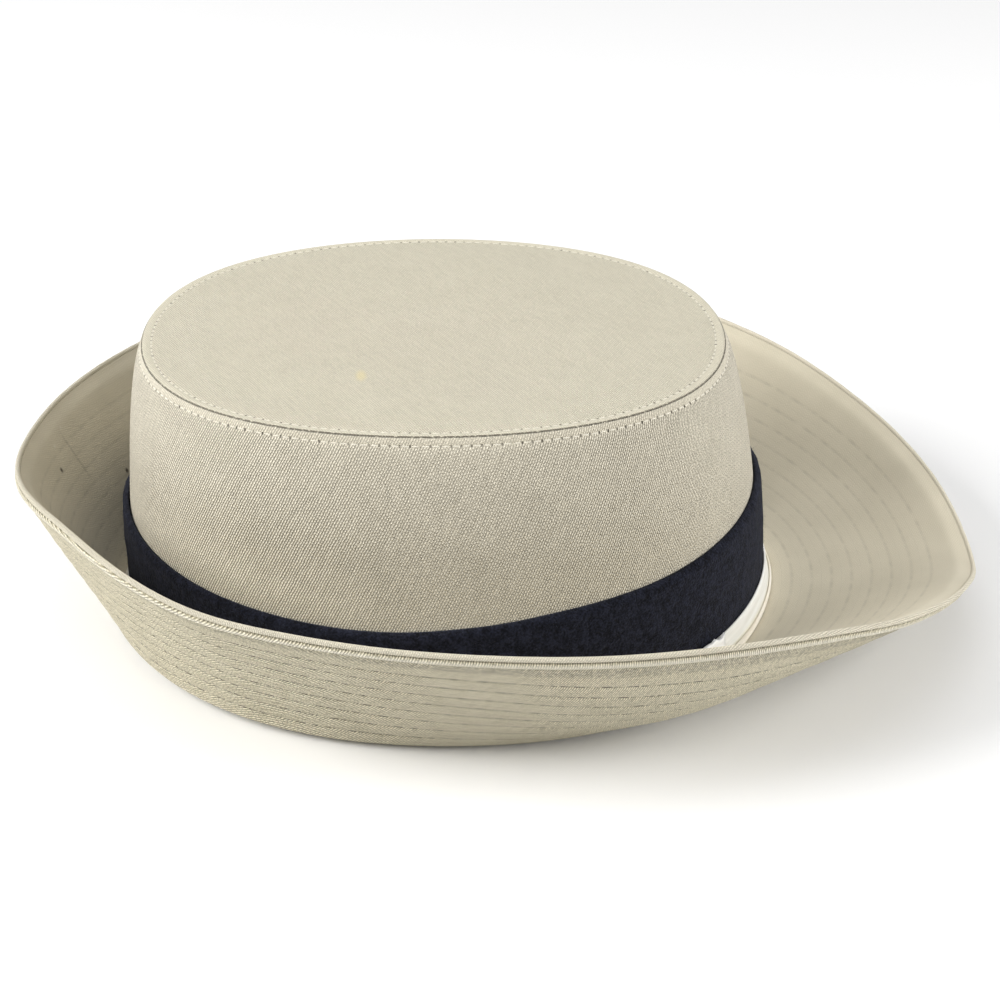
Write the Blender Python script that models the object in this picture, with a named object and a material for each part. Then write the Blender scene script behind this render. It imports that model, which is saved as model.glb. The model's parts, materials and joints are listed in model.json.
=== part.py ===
"""Uniform hat with a flat-topped oval crown, a wool band and a stitched brim turned up at the sides.

The hat stands on the flat stretch at the foot of its brim. +X points to its front, +Y to the
wearer's left and +Z up. All lengths are in metres.
"""

import math

import bmesh
import bpy
from mathutils import Vector

# Cloth
WALL = 0.002  # crown cloth with its lining fabric
BRIM_CLOTH = 0.0014  # each of the brim's two layers
BAND_THICKNESS = 0.002
TAPE_THICKNESS = 0.0008
GAP = 0.0003  # clearance between pieces that are sewn together

# Crown
FOOT_LENGTH = 0.1986  # outside of the crown where it meets the brim
FOOT_WIDTH = 0.173
TOP_LENGTH = 0.182  # outside of the crown at its top seam
TOP_WIDTH = 0.155
TOP_SETBACK = 0.0039  # the top's middle lies this far behind the foot's
FOOT_BLUNTNESS = 0.015  # how much blunter than an ellipse the two ends are
TOP_BLUNTNESS = 0.032
SEAM_HEIGHT = 0.0955  # top seam above the ground
SEAM_SADDLE = 0.0006  # the seam dips by this at the ends and rises by it at the sides
TOP_DOME = 0.002
WALL_SWELL = 0.0037  # how far the wall bows out from a straight line

# Brim
BRIM_WIDTH = 0.070
ROOT_TUCK = 0.0022  # the brim reaches this far in under the wall
FLAT_ROOT = 0.0024  # flat stretch outside the wall, on which the hat stands
BEND_LENGTH = 0.0054
LIP = 0.003  # the upper cloth is rolled over the rim and back by this much
FRONT_LIFT = 0.0095  # how far the foot rises off the ground at the front
BACK_LIFT = 0.0048
FLAT_SIDE_START = 80.0  # azimuths, in degrees from the front, between which the foot is on the ground
FLAT_SIDE_END = 103.0

# Band and tape
BAND_HEIGHT = 0.0353
TAPE_WIDTH = 0.007
STRAND_LEAN = 0.0003  # the inner strand's foot stands this much farther out than its top
STRAND_SPACE = 0.0009
KEEPER_AZIMUTH = -40.0
KEEPER_LENGTH = 0.012
KEEPER_DEPTH = 0.6  # share of the inner strand's width that the keeper covers, from the top down
KEEPER_THICKNESS = 0.0012

AZIMUTH_COUNT = 60
PATH_STEPS = 60

# Wall from foot to seam: how high each ring is, as a share of the wall's height, and how far it
# bows out, as a share of WALL_SWELL.
WALL_SECTIONS = [
    {"rise": 0.00, "swell": 0.00},
    {"rise": 0.12, "swell": 0.40},
    {"rise": 0.30, "swell": 0.83},
    {"rise": 0.50, "swell": 1.00},
    {"rise": 0.70, "swell": 0.97},
    {"rise": 0.85, "swell": 0.75},
    {"rise": 0.94, "swell": 0.45},
    {"rise": 1.00, "swell": 0.00},
]

# Brim at azimuths from the front: its slope just outside the bend and at the rim, in degrees, and
# its width as a share of BRIM_WIDTH. The two sides are alike.
BRIM_SECTIONS = [
    {"azimuth": 0.0, "root_slope": 2.5, "rim_slope": 9.0, "width": 1.00},
    {"azimuth": 15.0, "root_slope": 3.5, "rim_slope": 25.0, "width": 0.99},
    {"azimuth": 30.0, "root_slope": 9.0, "rim_slope": 41.0, "width": 1.00},
    {"azimuth": 45.0, "root_slope": 15.0, "rim_slope": 56.0, "width": 1.05},
    {"azimuth": 60.0, "root_slope": 19.0, "rim_slope": 65.0, "width": 1.10},
    {"azimuth": 90.0, "root_slope": 50.0, "rim_slope": 52.0, "width": 1.06},
    {"azimuth": 120.0, "root_slope": 65.0, "rim_slope": 50.0, "width": 0.99},
    {"azimuth": 150.0, "root_slope": 69.0, "rim_slope": 60.0, "width": 0.91},
    {"azimuth": 180.0, "root_slope": 50.0, "rim_slope": 64.0, "width": 0.86},
]

# Band at azimuths from the front, on both sides alike: its height as a share of BAND_HEIGHT.
BAND_SECTIONS = [
    {"azimuth": 0.0, "height": 1.05},
    {"azimuth": 45.0, "height": 1.06},
    {"azimuth": 70.0, "height": 1.05},
    {"azimuth": 85.0, "height": 0.98},
    {"azimuth": 100.0, "height": 0.93},
    {"azimuth": 125.0, "height": 0.95},
    {"azimuth": 180.0, "height": 0.99},
]

# Tape at azimuths from the front, negative on the wearer's right: how high its inner strand stands
# against the band and how far the outer strand reaches over the brim, as shares of TAPE_WIDTH.
TAPE_SECTIONS = [
    {"azimuth": -180.0, "rise": 0.85, "outer_reach": 0.20},
    {"azimuth": -90.0, "rise": 0.90, "outer_reach": 0.30},
    {"azimuth": -45.0, "rise": 1.00, "outer_reach": 0.45},
    {"azimuth": -20.0, "rise": 1.05, "outer_reach": 0.15},
    {"azimuth": 0.0, "rise": 1.00, "outer_reach": 0.12},
    {"azimuth": 30.0, "rise": 0.95, "outer_reach": 0.12},
    {"azimuth": 90.0, "rise": 0.85, "outer_reach": 0.20},
    {"azimuth": 180.0, "rise": 0.85, "outer_reach": 0.20},
]

BEND_SHARES = [0.25, 0.5, 0.75, 1.0]
SLOPE_SHARES = [0.2, 0.4, 0.6, 0.8]
BAND_SHARES = [0.0, 0.33, 0.67, 1.0]
TOP_SHARES = [0.03, 0.12, 0.35, 0.65]  # rings of the top, from its edge towards its middle
LIP_ARC = [45.0, 0.0, -45.0]

KHAKI = (0.66, 0.60, 0.49)
KHAKI_UNDER = (0.62, 0.56, 0.45)
NAVY = (0.012, 0.014, 0.024)
CREAM = (0.86, 0.83, 0.74)
WHITE = (0.90, 0.90, 0.88)

BRIM_THICKNESS = 2 * BRIM_CLOTH + GAP


def eased(share):
    """0 to 1 with a smooth start and end."""
    share = min(max(share, 0.0), 1.0)
    return share * share * (3.0 - 2.0 * share)


def between(rows, azimuth, column):
    """A column of a section table at any azimuth, on a smooth curve through its rows."""
    last = len(rows) - 1
    k = max(i for i in range(last) if rows[i]["azimuth"] <= azimuth + 1e-9)
    a, b = rows[k], rows[k + 1]
    span = b["azimuth"] - a["azimuth"]
    share = (azimuth - a["azimuth"]) / span

    def slope_at(i):
        if i in (0, last):
            return 0.0
        rise = rows[i + 1][column] - rows[i - 1][column]
        return rise / (rows[i + 1]["azimuth"] - rows[i - 1]["azimuth"])

    start, end = slope_at(k) * span, slope_at(k + 1) * span
    turn = eased(share)
    hump = share * (1 - share)
    value = a[column] * (1 - turn) + b[column] * turn
    return value + hump * ((1 - share) * start - share * end)


def oval(length, width, bluntness, angle):
    """A point of a blunt-ended oval round the origin."""
    x = (1 + bluntness) * math.cos(angle) - bluntness * math.cos(3 * angle)
    return Vector((length / 2 * x, width / 2 * math.sin(angle), 0.0))


class Station:
    """The hat's section at one azimuth, in degrees, negative on the wearer's right."""

    def __init__(self, azimuth):
        self.azimuth = azimuth
        angle = math.radians(azimuth)
        side = abs(azimuth)
        self.out = Vector((math.cos(angle) / FOOT_LENGTH, math.sin(angle) / FOOT_WIDTH, 0.0)).normalized()
        front_rise = FRONT_LIFT * eased(1 - side / FLAT_SIDE_START)
        back_rise = BACK_LIFT * eased((side - FLAT_SIDE_END) / (180.0 - FLAT_SIDE_END))
        self.foot = oval(FOOT_LENGTH, FOOT_WIDTH, FOOT_BLUNTNESS, angle)
        self.foot.z = BRIM_THICKNESS + front_rise + back_rise
        self.seam = oval(TOP_LENGTH, TOP_WIDTH, TOP_BLUNTNESS, angle)
        self.seam.x -= TOP_SETBACK
        self.seam.z = SEAM_HEIGHT - SEAM_SADDLE * math.cos(2 * angle)
        self.width = BRIM_WIDTH * between(BRIM_SECTIONS, side, "width")
        self.path = self.brim_path(side)

    def brim_path(self, side):
        """Out, up and slope at even steps along the brim's upper face."""
        root = math.radians(between(BRIM_SECTIONS, side, "root_slope"))
        rim = math.radians(between(BRIM_SECTIONS, side, "rim_slope"))
        step = self.width / PATH_STEPS
        out, up = 0.0, 0.0
        path = [(out, up, 0.0)]
        for k in range(PATH_STEPS):
            distance = (k + 0.5) * step
            full = root + (rim - root) * distance / self.width
            slope = full * eased((distance - FLAT_ROOT) / BEND_LENGTH)
            out += step * math.cos(slope)
            up += step * math.sin(slope)
            path.append((out, up, slope))
        return path

    def brim(self, distance, depth):
        """A point of the brim: along its upper face from the wall, and down into its cloth."""
        place = min(max(distance / self.width * PATH_STEPS, 0.0), PATH_STEPS - 1e-6)
        k = int(place)
        share = place - k
        a, b = self.path[k], self.path[k + 1]
        out, up, slope = (a[i] * (1 - share) + b[i] * share for i in range(3))
        beyond = distance - min(max(distance, 0.0), self.width)
        out += beyond * math.cos(slope) + depth * math.sin(slope)
        up += beyond * math.sin(slope) - depth * math.cos(slope)
        return self.foot + self.out * out + Vector((0.0, 0.0, up))

    def wall(self, rise, proud):
        """A point of the wall: a share of its height, and a distance out from its outer face."""
        low = self.foot + Vector((0.0, 0.0, GAP))
        k = max(i for i in range(len(WALL_SECTIONS) - 1) if WALL_SECTIONS[i]["rise"] <= rise + 1e-9)
        a, b = WALL_SECTIONS[k], WALL_SECTIONS[k + 1]
        share = (rise - a["rise"]) / (b["rise"] - a["rise"])
        swell = WALL_SWELL * (a["swell"] * (1 - share) + b["swell"] * share)
        return low.lerp(self.seam, rise) + self.out * (swell + proud)

    def rise_at(self, height):
        """The share of the wall's height at a height above its foot."""
        return height / (self.seam.z - self.foot.z - GAP)


def station_azimuths():
    return [-180.0 + 360.0 * k / AZIMUTH_COUNT for k in range(AZIMUTH_COUNT)]


STATIONS = [Station(azimuth) for azimuth in station_azimuths()]


def crown_wall_section(at):
    outer = [at.wall(row["rise"], 0.0) for row in WALL_SECTIONS]
    inner = [at.wall(row["rise"], -WALL) for row in WALL_SECTIONS]
    inner[-1].z -= WALL
    return outer + inner[::-1]


def hat_band_section(at):
    height = BAND_HEIGHT * between(BAND_SECTIONS, abs(at.azimuth), "height")
    rises = [at.rise_at(height * share) for share in BAND_SHARES]
    inner = [at.wall(rise, GAP) for rise in rises]
    outer = [at.wall(rise, GAP + BAND_THICKNESS) for rise in rises]
    return inner + outer[::-1]


def brim_distances(at, end):
    """Distances from the wall at which a layer has its rings; they match from layer to layer."""
    bend_end = FLAT_ROOT + BEND_LENGTH
    bend = [FLAT_ROOT + BEND_LENGTH * share for share in BEND_SHARES]
    slope = [bend_end + (at.width - bend_end) * share for share in SLOPE_SHARES]
    return [-ROOT_TUCK, FLAT_ROOT] + bend + slope + [end]


def brim_upper_section(at):
    """The upper cloth, rolled round the rim and turned back on the under side."""
    radius = BRIM_THICKNESS / 2
    upper = [at.brim(distance, 0.0) for distance in brim_distances(at, at.width)]
    roll = []
    for degrees in LIP_ARC:
        turn = math.radians(degrees)
        roll.append(at.brim(at.width + radius * math.cos(turn), radius - radius * math.sin(turn)))
    lip = [at.brim(at.width, BRIM_THICKNESS), at.brim(at.width - LIP, BRIM_THICKNESS)]
    lower = [at.brim(distance, BRIM_CLOTH) for distance in brim_distances(at, at.width - LIP)]
    return upper + roll + lip + lower[::-1]


def brim_under_section(at):
    distances = brim_distances(at, at.width - LIP - GAP)
    upper = [at.brim(distance, BRIM_CLOTH + GAP) for distance in distances]
    lower = [at.brim(distance, BRIM_THICKNESS) for distance in distances]
    return upper + lower[::-1]


def strand_edges(at):
    """Where the lower faces of the tape's two strands begin and end at a station."""
    rise = TAPE_WIDTH * between(TAPE_SECTIONS, at.azimuth, "rise")
    outer_reach = TAPE_WIDTH * between(TAPE_SECTIONS, at.azimuth, "outer_reach")
    inner_start = BAND_THICKNESS + 2 * GAP
    inner_end = inner_start + GAP + STRAND_LEAN
    outer_start = inner_end + TAPE_THICKNESS + STRAND_SPACE
    return {
        "inner": [at.wall(at.rise_at(rise), inner_start), at.brim(inner_end, -GAP)],
        "outer": [at.brim(outer_start, -GAP), at.brim(outer_start + outer_reach, -GAP)],
    }


def ribbon_section(at, ends, lift, thickness):
    """A flat ribbon between two points, raised off its own lower face by lift."""
    low, high = ends
    across = (high - low).normalized()
    along = Vector((0.0, 0.0, 1.0)).cross(at.out)
    face = across.cross(along).normalized()
    return [low + face * lift, high + face * lift, high + face * (lift + thickness), low + face * (lift + thickness)]


def tape_inner_section(at):
    return ribbon_section(at, strand_edges(at)["inner"], 0.0, TAPE_THICKNESS)


def tape_outer_section(at):
    return ribbon_section(at, strand_edges(at)["outer"], 0.0, TAPE_THICKNESS)


def tape_keeper_section(at):
    top, bottom = strand_edges(at)["inner"]
    ends = [top, top.lerp(bottom, KEEPER_DEPTH)]
    return ribbon_section(at, ends, TAPE_THICKNESS + GAP, KEEPER_THICKNESS)


def reach(vertex):
    """Grows up the wall and out along the brim."""
    return vertex.co.z + vertex.co.xy.length


def joined(mesh, loops, ring):
    """Skins a row of loops of equal length; a ring's last loop joins its first.

    Every face is split from its inner near corner to its outer far one, so that layers which
    lie close together keep their clearance where the cloth is twisted.
    """
    rows = [[mesh.verts.new(point) for point in loop] for loop in loops]
    pairs = list(zip(rows, rows[1:] + rows[:1])) if ring else list(zip(rows, rows[1:]))
    for near, far in pairs:
        for k in range(len(near)):
            after = (k + 1) % len(near)
            if reach(near[k]) < reach(near[after]):
                mesh.faces.new((near[k], near[after], far[after]))
                mesh.faces.new((near[k], far[after], far[k]))
            else:
                mesh.faces.new((near[k], near[after], far[k]))
                mesh.faces.new((near[after], far[after], far[k]))
    return rows


def ring_mesh(section):
    """A closed ring through every station."""
    mesh = bmesh.new()
    joined(mesh, [section(at) for at in STATIONS], ring=True)
    return mesh


def tab_mesh(section, azimuth, length):
    """A short run of a section, closed at both ends."""
    half = math.degrees(length / 2 / (FOOT_WIDTH / 2))
    mesh = bmesh.new()
    stations = [Station(azimuth + half * share) for share in (-1.0, -0.33, 0.33, 1.0)]
    rows = joined(mesh, [section(at) for at in stations], ring=False)
    mesh.faces.new(rows[0])
    mesh.faces.new(rows[-1][::-1])
    return mesh


def crown_top_mesh():
    """A shallow dome whose edge is mitred to the wall at the seam."""
    lift = GAP * math.sqrt(2)
    middle = Vector((-TOP_SETBACK, 0.0, SEAM_HEIGHT + lift))
    seam = [at.seam + Vector((0.0, 0.0, lift)) for at in STATIONS]
    mitre = [at.seam - at.out * WALL + Vector((0.0, 0.0, lift - WALL)) for at in STATIONS]

    def ring(share, drop):
        rise = TOP_DOME * (1 - (1 - share) ** 2) - drop
        return [edge.lerp(middle, share) + Vector((0.0, 0.0, rise)) for edge in seam]

    upper = [ring(share, 0.0) for share in TOP_SHARES]
    lower = [ring(share, WALL) for share in TOP_SHARES[1:]]
    loops = upper[::-1] + [seam, mitre] + lower
    mesh = bmesh.new()
    rows = joined(mesh, loops, ring=False)
    for row, drop in ((rows[0], 0.0), (rows[-1], WALL)):
        centre = mesh.verts.new(middle + Vector((0.0, 0.0, TOP_DOME - drop)))
        for k in range(len(row)):
            mesh.faces.new((row[k], row[(k + 1) % len(row)], centre))
    return mesh


def cloth(name, colour, roughness):
    material = bpy.data.materials.new(name)
    material.use_nodes = True
    shader = material.node_tree.nodes["Principled BSDF"]
    shader.inputs["Base Color"].default_value = (*colour, 1.0)
    shader.inputs["Roughness"].default_value = roughness
    shader.inputs["Metallic"].default_value = 0.0
    return material


def add_piece(collection, name, mesh, material, shift):
    """Turns a bmesh into a named object, moved so that the hat's box is centred."""
    bmesh.ops.recalc_face_normals(mesh, faces=mesh.faces)
    bmesh.ops.translate(mesh, verts=mesh.verts, vec=shift)
    data = bpy.data.meshes.new(name)
    mesh.to_mesh(data)
    mesh.free()
    data.materials.append(material)
    data.shade_smooth()
    data.set_sharp_from_angle(angle=math.radians(40.0))
    piece = bpy.data.objects.new(name, data)
    collection.objects.link(piece)
    return piece


def centring_shift():
    """The move that puts the middle of the brim's length over the origin."""
    rim = [point.x for at in STATIONS for point in brim_upper_section(at)]
    return Vector((-(min(rim) + max(rim)) / 2, 0.0, 0.0))


def build():
    for old in list(bpy.data.objects):
        bpy.data.objects.remove(old, do_unlink=True)
    collection = bpy.data.collections.new("uniform_hat")
    bpy.context.scene.collection.children.link(collection)
    shift = centring_shift()
    khaki = cloth("khaki_twill", KHAKI, 0.85)
    khaki_under = cloth("khaki_twill_under", KHAKI_UNDER, 0.85)
    navy = cloth("navy_wool", NAVY, 0.95)
    cream = cloth("cream_satin", CREAM, 0.45)
    white = cloth("white_satin", WHITE, 0.5)
    pieces = [
        ("crown_top", crown_top_mesh(), khaki),
        ("crown_wall", ring_mesh(crown_wall_section), khaki),
        ("hat_band", ring_mesh(hat_band_section), navy),
        ("brim_upper", ring_mesh(brim_upper_section), khaki),
        ("brim_under", ring_mesh(brim_under_section), khaki_under),
        ("tape_inner", ring_mesh(tape_inner_section), cream),
        ("tape_outer", ring_mesh(tape_outer_section), cream),
        ("tape_keeper", tab_mesh(tape_keeper_section, KEEPER_AZIMUTH, KEEPER_LENGTH), white),
    ]
    for name, mesh, material in pieces:
        add_piece(collection, name, mesh, material, shift)


build()
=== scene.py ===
"""Uniform hat: an oval crown of khaki twill, a navy wool band, a satin tape and a brim sewn in rows.

Everything is in metres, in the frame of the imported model: +X to the front of the hat, +Y to the
wearer's left, +Z up. The hat stands on the foot of its brim.
"""

import json
from math import cos, degrees, exp, pi, radians, sin
from random import seed, uniform

import bmesh
import bpy
from mathutils import Matrix, Vector, noise


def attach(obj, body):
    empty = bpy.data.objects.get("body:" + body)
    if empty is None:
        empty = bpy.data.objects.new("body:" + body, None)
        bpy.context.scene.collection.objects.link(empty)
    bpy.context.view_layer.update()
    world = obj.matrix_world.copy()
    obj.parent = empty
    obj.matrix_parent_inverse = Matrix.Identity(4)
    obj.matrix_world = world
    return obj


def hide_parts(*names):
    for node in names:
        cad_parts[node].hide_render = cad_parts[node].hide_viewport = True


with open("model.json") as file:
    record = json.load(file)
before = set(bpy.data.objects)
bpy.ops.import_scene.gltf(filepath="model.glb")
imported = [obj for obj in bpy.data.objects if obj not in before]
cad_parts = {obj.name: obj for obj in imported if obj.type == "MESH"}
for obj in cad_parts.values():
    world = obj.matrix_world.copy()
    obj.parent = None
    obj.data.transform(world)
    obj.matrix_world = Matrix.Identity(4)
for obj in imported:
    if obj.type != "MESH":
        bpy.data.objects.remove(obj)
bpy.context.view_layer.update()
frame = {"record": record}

# Crown wall
# One strip of khaki cotton twill with a lining fabric behind it, joined at the back. It leans in,
# bows out a little, and its top edge is turned in and sewn to the top.
WALL = 0.002  # cloth with its lining fabric
GAP = 0.0003  # between pieces that are sewn together
FOOT_LENGTH = 0.1986  # outside of the crown where it meets the brim
FOOT_WIDTH = 0.173
TOP_LENGTH = 0.182  # outside of the crown at its top seam
TOP_WIDTH = 0.155
TOP_SETBACK = 0.0039
FOOT_BLUNTNESS = 0.015
TOP_BLUNTNESS = 0.032
SEAM_HEIGHT = 0.0955
SEAM_SADDLE = 0.0006
WALL_SWELL = 0.0037
BRIM_CLOTH = 0.0014
BRIM_THICKNESS = 2 * BRIM_CLOTH + GAP
FRONT_LIFT = 0.0095  # how far the foot rises off the ground at the front and at the back
BACK_LIFT = 0.0048
FLAT_SIDE_START = 80.0
FLAT_SIDE_END = 103.0
TOPSTITCH_SET = 0.0025  # from the seam to each row of topstitching
SEAM_STITCH = 0.003
CROWN_AROUND = 600
WALL_UNEVENNESS = 0.00045
UP = Vector((0.0, 0.0, 1.0))


def table(columns, *rows):
    """Rows as dictionaries, with their values under the names of the columns."""
    return [dict(zip(columns.split(), row)) for row in rows]


# The wall's section: share of its height, and how far it bows out there as a share of WALL_SWELL.
WALL_SECTIONS = table(
    "rise swell",
    (0.0, 0.0),
    (0.12, 0.4),
    (0.3, 0.83),
    (0.5, 1.0),
    (0.7, 0.97),
    (0.85, 0.75),
    (0.94, 0.45),
    (1.0, 0.0),
)

# The wall's last stretch: distance down from the seam, and how far the cloth stands out there.
WALL_EDGE = table(
    "drop proud",
    (0.006, 0.0),
    (0.0044, 0.00006),
    (0.0034, 0.00004),
    (0.0029, -0.00004),
    (0.0025, -0.00016),
    (0.0021, -0.00002),
    (0.0015, 0.00016),
    (0.0009, 0.0002),
    (0.0005, 0.0002),
    (0.0002, 0.00015),
    (0.0, -0.00005),
    (0.0001, -0.001),
)

KHAKI_PALE = (0.86, 0.80, 0.655)
KHAKI_DEEP = (0.40, 0.365, 0.285)
KHAKI_SHADE = (0.10, 0.085, 0.06)  # painted shade deep in a seam, groove or needle's pit, beside a stitch and below the ridge; also the dark dots by the back seam
EDGE_PALE = (0.93, 0.88, 0.75)  # paler where a rolled edge is rubbed, and painted highlight on the rolled rim and the ridge
FLOAT_ROW = 0.3  # a rib's height in the units of the pattern of floats
FLOAT_GAP = 0.38  # between floats, as a share of a rib
WANDER = 0.7  # how far the ribs wander, in pitches
SHORT_FLOAT = 0.75  # how long the floats of each third rib are, as a share of the others
ROLL_TURN = (1.0032, 1.0018)  # on the sewing map, where a rolled edge turns from its face to its outside
SEAM_MAP = 1.0  # the sewing map's height at a cut or turned edge
TOPSTITCH_ROW = SEAM_MAP + TOPSTITCH_SET
EDGE_STEP = (0.4, 0.6)  # on the sewing map, between the rows of stitches and the edges
WEAVE_LEVEL = 0.6  # the weave's middle height, in units of its relief
HEM_FADE = 0.0007  # over which the smooth strip along a seam ends
HEM_RELIEF = 0.55  # share of the weave that shows in that strip
HEM_DIP = 0.03  # how much lower the weave lies there
WEAR_AND_HIGHLIGHT_REACH = (0.0002, 0.0008)  # from a seam, where a turned edge's paler wear and painted highlight start and are full
SEAM_LINE = (0.0002, 0.00006)  # from the middle of a line of painted shade along a seam, where it starts and is full
PIT = (0.00045, 0.0002)
STITCH_SHADE = (0.00038, 0.0002)
GROOVE_SHADE = (0.0009, 0.0001)
PULL_START = (0.0052, 0.0074)  # out from the first row, where the under cloth's pulled stretch starts
PULL_END = (0.02, 0.01)
TWILL_FINISH = {"Roughness": 0.85, "Specular IOR Level": 0.2, "Sheen Weight": 0.08, "Sheen Roughness": 0.5}

opening = next(m for m in frame["record"]["mounts"] if m["name"] == "head_opening")
MIDDLE = Vector(opening["pos_m"])


def eased(share):
    """0 to 1 with a smooth start and end."""
    share = min(max(share, 0.0), 1.0)
    return share * share * (3.0 - 2.0 * share)


def between(rows, key, place, column, level_ends=True):
    """A column of a table at any place along its key, on a smooth curve through its rows."""
    last = len(rows) - 1
    k = max(i for i in range(last) if rows[i][key] <= place + 1e-9)
    a, b = rows[k], rows[k + 1]
    span = b[key] - a[key]
    share = (place - a[key]) / span

    def slope_at(i):
        if i in (0, last) and level_ends:
            return 0.0
        low, high = rows[max(i - 1, 0)], rows[min(i + 1, last)]
        return (high[column] - low[column]) / (high[key] - low[key])

    start, end = slope_at(k) * span, slope_at(k + 1) * span
    turn = eased(share)
    hump = share * (1 - share)
    value = a[column] * (1 - turn) + b[column] * turn
    return value + hump * ((1 - share) * start - share * end)


def oval(length, width, bluntness, azimuth):
    """A point of a blunt-ended oval round the middle of the foot."""
    angle = radians(azimuth)
    x = (1 + bluntness) * cos(angle) - bluntness * cos(3 * angle)
    return MIDDLE + Vector((length / 2 * x, width / 2 * sin(angle), 0.0))


def outward(azimuth):
    angle = radians(azimuth)
    return Vector((cos(angle) / FOOT_LENGTH, sin(angle) / FOOT_WIDTH, 0.0)).normalized()


def foot(azimuth):
    """Where the wall meets the brim's upper face."""
    side = abs(azimuth)
    front_rise = FRONT_LIFT * eased(1 - side / FLAT_SIDE_START)
    back_rise = BACK_LIFT * eased((side - FLAT_SIDE_END) / (180.0 - FLAT_SIDE_END))
    point = oval(FOOT_LENGTH, FOOT_WIDTH, FOOT_BLUNTNESS, azimuth)
    point.z = BRIM_THICKNESS + front_rise + back_rise
    return point


def seam(azimuth):
    """Where the wall meets the top."""
    point = oval(TOP_LENGTH, TOP_WIDTH, TOP_BLUNTNESS, azimuth)
    point.x -= TOP_SETBACK
    point.z = SEAM_HEIGHT - SEAM_SADDLE * cos(2 * radians(azimuth))
    return point


def wall(azimuth, rise, proud):
    """A point of the wall: a share of its height, and a distance out from its outer face."""
    low = foot(azimuth) + UP * GAP
    swell = WALL_SWELL * between(WALL_SECTIONS, "rise", rise, "swell", level_ends=False)
    return low.lerp(seam(azimuth), rise) + outward(azimuth) * (swell + proud)


def wall_height(azimuth):
    return seam(azimuth).z - foot(azimuth).z - GAP


def azimuths(around):
    """From the back round to the back again."""
    return [-180.0 + 360.0 * k / around for k in range(around + 1)]


def running_lengths(points):
    """The length along a row of points from its first to each of them."""
    lengths = [0.0]
    for a, b in zip(points, points[1:]):
        lengths.append(lengths[-1] + (b - a).length)
    return lengths


def stitch_numbers(points, pitch):
    """How many stitches lie before each point of a row, scaled so that the row holds a whole number."""
    lengths = running_lengths(points)
    count = round(lengths[-1] / pitch)
    return [count * length / lengths[-1] for length in lengths]


def ring_of_cloth(outlines):
    """Closed outlines, from one back to the same azimuth, skinned as one welded ring.

    Each entry of an outline is a point, its place on the cloth laid flat, and its place along and
    across the nearest row of stitches.
    """
    mesh = bmesh.new()
    cloth = mesh.loops.layers.uv.new("cloth")
    sewing = mesh.loops.layers.uv.new("sewing")
    around, across = len(outlines) - 1, len(outlines[0])
    bmesh.ops.create_grid(mesh, x_segments=around, y_segments=across, size=0.5)
    entries = {}
    for vertex in mesh.verts:
        column = round((vertex.co.x + 0.5) * around)
        row = round((vertex.co.y + 0.5) * across)
        entries[vertex] = outlines[column][row % across]
    for face in mesh.faces:
        for loop in face.loops:
            loop[cloth].uv = entries[loop.vert][1]
            loop[sewing].uv = entries[loop.vert][2]
    for vertex, entry in entries.items():
        vertex.co = entry[0]
    bmesh.ops.remove_doubles(mesh, verts=mesh.verts, dist=1e-6)
    return mesh


def made(name, mesh):
    """A finished bmesh as mesh data."""
    data = bpy.data.meshes.new(name)
    mesh.to_mesh(data)
    mesh.free()
    return data


def in_scene(name, data):
    item = bpy.data.objects.new(name, data)
    bpy.context.scene.collection.objects.link(item)
    return item


def set_in_place(name, mesh, material, slot, *nodes):
    """Makes a finished bmesh a piece of the hat, which stands for the named CAD nodes."""
    bmesh.ops.recalc_face_normals(mesh, faces=mesh.faces)
    data = made(name, mesh)
    data.materials.append(material)
    data.shade_smooth()
    piece = in_scene(name, data)
    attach(piece, "root")
    if nodes:
        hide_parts(*nodes)


class Wired:
    """What a shader node gives. Arithmetic with it adds maths nodes to its tree."""

    def __init__(self, tree, socket):
        self.tree = tree
        self.socket = socket

    def maths(self, operation, *others):
        return wire(self.tree, "Math", dict(enumerate((self, *others))), operation=operation)

    def vector_maths(self, operation, *others, output=0):
        feeds = dict(enumerate((self, *others)))
        return wire(self.tree, "VectorMath", feeds, output, operation=operation)

    def __add__(self, other):
        return self.maths("ADD", other)

    def __sub__(self, other):
        return self.maths("SUBTRACT", other)

    def __mul__(self, other):
        return self.maths("MULTIPLY", other)

    def __abs__(self):
        return self.maths("ABSOLUTE")

    def ramp(self, low, high):
        """0 at low and 1 at high, smoothly."""
        feeds = {"Value": self, "From Min": low, "From Max": high}
        return wire(self.tree, "MapRange", feeds, interpolation_type="SMOOTHSTEP")

    def part(self, axis):
        """One coordinate of a vector."""
        return wire(self.tree, "SeparateXYZ", {0: self}, axis)

    def turned(self, angle):
        return wire(self.tree, "Mapping", {"Vector": self, "Rotation": (0.0, 0.0, angle)})

    def speckle(self, scale, stretch=(1.0, 1.0, 1.0), detail=2.0):
        """Noise over a vector, with lumps 1/scale metres across."""
        drawn = wire(self.tree, "Mapping", {"Vector": self, "Scale": stretch})
        return wire(self.tree, "TexNoise", {"Vector": drawn, "Scale": scale, "Detail": detail})

    def ribbing(self, pitch, direction):
        feeds = {"Vector": self, "Scale": pi / 10 / pitch}
        return wire(self.tree, "TexWave", feeds, "Fac", bands_direction=direction)

    def blend(self, first, second):
        """The first colour where this is 0 and the second where it is 1."""
        pair = [c if isinstance(c, Wired) else (*c, 1.0) for c in (first, second)]
        return wire(self.tree, "Mix", {0: self, 6: pair[0], 7: pair[1]}, 2, data_type="RGBA")


def feed(tree, node, feeds):
    """Gives inputs of a shader node a value each, or what another node gives."""
    for name, value in feeds.items():
        if isinstance(value, Wired):
            tree.links.new(value.socket, node.inputs[name])
        else:
            node.inputs[name].default_value = value


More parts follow.
